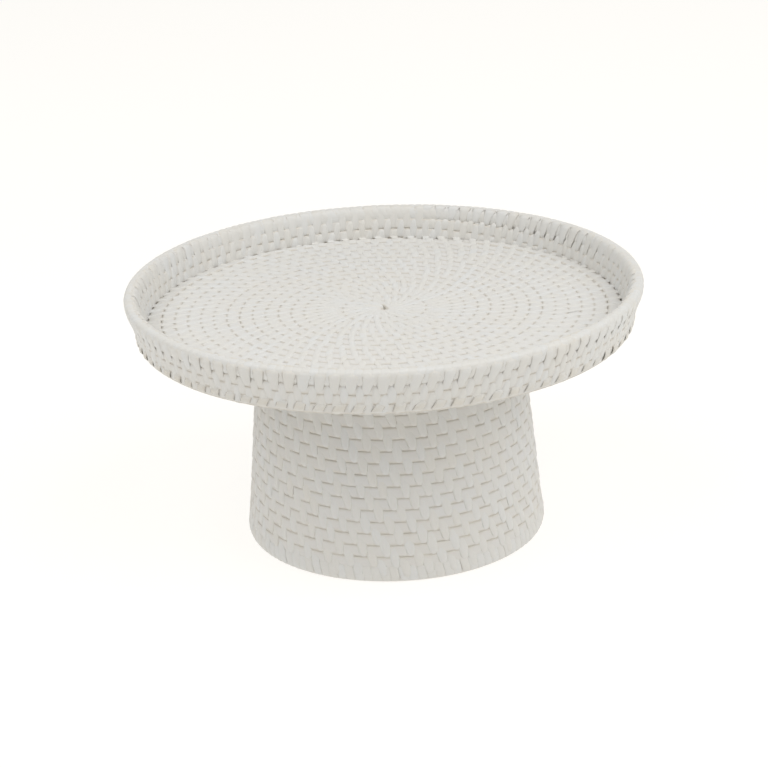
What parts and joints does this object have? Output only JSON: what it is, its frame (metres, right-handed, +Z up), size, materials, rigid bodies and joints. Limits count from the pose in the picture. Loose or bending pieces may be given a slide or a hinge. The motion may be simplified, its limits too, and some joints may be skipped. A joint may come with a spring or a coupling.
{
  "type": "cake stand",
  "caption": "Round coiled-basketwork cake stand: a shallow tray with a low flared wall and rolled rim, on a wide hollow pedestal.",
  "frame": {"origin": "centre of the foot, on the surface that the stand rests on", "axes": "+Z up along the common axis of the tray and the pedestal; +Y points to the side where the coils step from one course to the next"},
  "size_m": [0.3558, 0.3558, 0.181],
  "materials": {
    "painted_peel": "flat rattan peel with a brushed satin coat of warm white paint",
    "painted_cane": "round rattan cane under a thinner, duller coat of the same white paint"
  },
  "bodies": {
    "root": {"floor_cane_1": "painted_cane", "floor_cane_2": "painted_cane", "floor_cane_3": "painted_cane", "floor_stitching": "painted_peel", "foot_binding": "painted_peel", "foot_hoop": "painted_cane", "lashing_01": "painted_peel", "lashing_02": "painted_peel", "lashing_03": "painted_peel", "lashing_04": "painted_peel", "lashing_05": "painted_peel", "lashing_06": "painted_peel", "lashing_07": "painted_peel", "lashing_08": "painted_peel", "lashing_09": "painted_peel", "lashing_10": "painted_peel", "lashing_11": "painted_peel", "lashing_12": "painted_peel", "lashing_13": "painted_peel", "lashing_14": "painted_peel", "lashing_15": "painted_peel", "lashing_16": "painted_peel", "lashing_17": "painted_peel", "lashing_18": "painted_peel", "lashing_19": "painted_peel", "lashing_20": "painted_peel", "lashing_21": "painted_peel", "lashing_22": "painted_peel", "lashing_23": "painted_peel", "lashing_24": "painted_peel", "lashing_25": "painted_peel", "lashing_26": "painted_peel", "lashing_27": "painted_peel", "lashing_28": "painted_peel", "lashing_29": "painted_peel", "lashing_30": "painted_peel", "pedestal_cane_1": "painted_cane", "pedestal_cane_2": "painted_cane", "pedestal_cane_3": "painted_cane", "pedestal_cane_4": "painted_cane", "pedestal_stitching": "painted_peel", "rim_binding": "painted_peel", "rim_hoop": "painted_cane", "top_hoop": "painted_cane", "wall_cane": "painted_cane", "wall_stitching": "painted_peel"}
  },
  "joints": []
}
